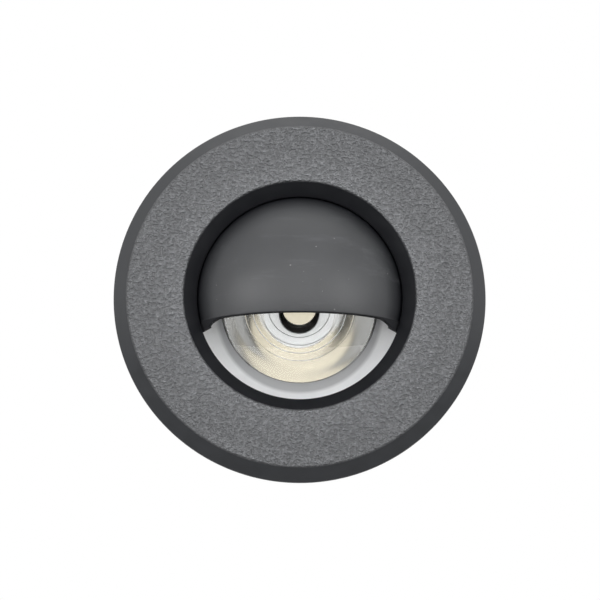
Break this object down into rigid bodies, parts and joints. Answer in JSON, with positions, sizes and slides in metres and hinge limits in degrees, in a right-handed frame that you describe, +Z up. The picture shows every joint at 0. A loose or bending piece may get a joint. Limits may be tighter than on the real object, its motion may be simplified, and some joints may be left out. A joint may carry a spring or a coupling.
{
  "type": "recessed path light",
  "caption": "Round black recessed path light with a turning half-dome eyelid over a clear LED optic, held in its hole by sprung side clips.",
  "frame": {"origin": "on the light's axis, in the plane of the wall face that the gasket rests on", "axes": "+Y along the axis into the wall, so the front faces -Y; +Z up, with the eyelid's hood on top"},
  "size_m": [0.06, 0.0647, 0.06],
  "materials": {
    "foam": "matt closed-cell foam",
    "black_coat": "fine powder coat",
    "seal_rubber": "smooth",
    "satin_aluminium": "satin",
    "clear_optic": "clear, polished",
    "black_plastic": "matt",
    "white_plastic": "moulded",
    "phosphor": "silicone",
    "white_board": "solder mask",
    "zinc_steel": "zinc plated",
    "grey_pad": "soft",
    "bare_aluminium": "turned",
    "lead_wire": "insulated wire",
    "brass": "turned",
    "green_board": "solder mask",
    "ferrite": "matt",
    "capacitor_can": "drawn",
    "chip_plastic": "moulded",
    "terminal_plastic": "moulded",
    "cast_black": "powder coat on casting",
    "gland_plastic": "nylon",
    "spring_steel": "stainless"
  },
  "bodies": {
    "fixture": {"wall_gasket": "foam", "bezel": "black_coat", "front_seal": "seal_rubber", "optic_holder": "satin_aluminium", "optic_seal": "seal_rubber", "collimator": "clear_optic", "collimator_cup": "white_plastic", "led_base": "black_plastic", "led_dome": "phosphor", "led_board": "white_board", "led_board_screws": "zinc_steel", "thermal_pad": "grey_pad", "heat_spreader": "bare_aluminium", "led_leads": "lead_wire", "driver_standoffs": "brass", "driver_board": "green_board", "driver_screws": "zinc_steel", "driver_inductor": "ferrite", "driver_capacitor": "capacitor_can", "driver_rectifier": "chip_plastic", "driver_chip": "chip_plastic", "supply_terminal": "terminal_plastic", "housing": "cast_black", "housing_oring": "seal_rubber", "rear_cover": "cast_black", "rear_cover_oring": "seal_rubber", "rear_cover_screws": "zinc_steel", "gland_body": "gland_plastic", "gland_washer": "seal_rubber", "gland_insert": "seal_rubber", "gland_nut": "gland_plastic", "clip_pin_left": "zinc_steel", "clip_pin_right": "zinc_steel", "clip_spring_left": "spring_steel", "clip_spring_right": "spring_steel"},
    "eyelid": {"eyelid_hood": "black_coat"},
    "clip_left": {"clip_arm_left": "spring_steel"},
    "clip_right": {"clip_arm_right": "spring_steel"}
  },
  "joints": [
    {"name": "eyelid_turn", "type": "hinge", "parent": "fixture", "child": "eyelid", "pos_m": [0, 0, 0], "axis": [0, 1, 0], "continuous": true},
    {"name": "clip_left_fold", "type": "hinge", "parent": "fixture", "child": "clip_left", "pos_m": [-0.0216, 0.029, 0], "axis": [0, 0, 1], "range_deg": [0, 12], "stiffness_Nm_per_rad": 0.041, "springref_deg": -60.16, "deforming": ["clip_spring_left"]},
    {"name": "clip_right_fold", "type": "hinge", "parent": "fixture", "child": "clip_right", "pos_m": [0.0216, 0.029, 0], "axis": [0, 0, -1], "range_deg": [0, 12], "stiffness_Nm_per_rad": 0.041, "springref_deg": -60.16, "deforming": ["clip_spring_right"]}
  ]
}
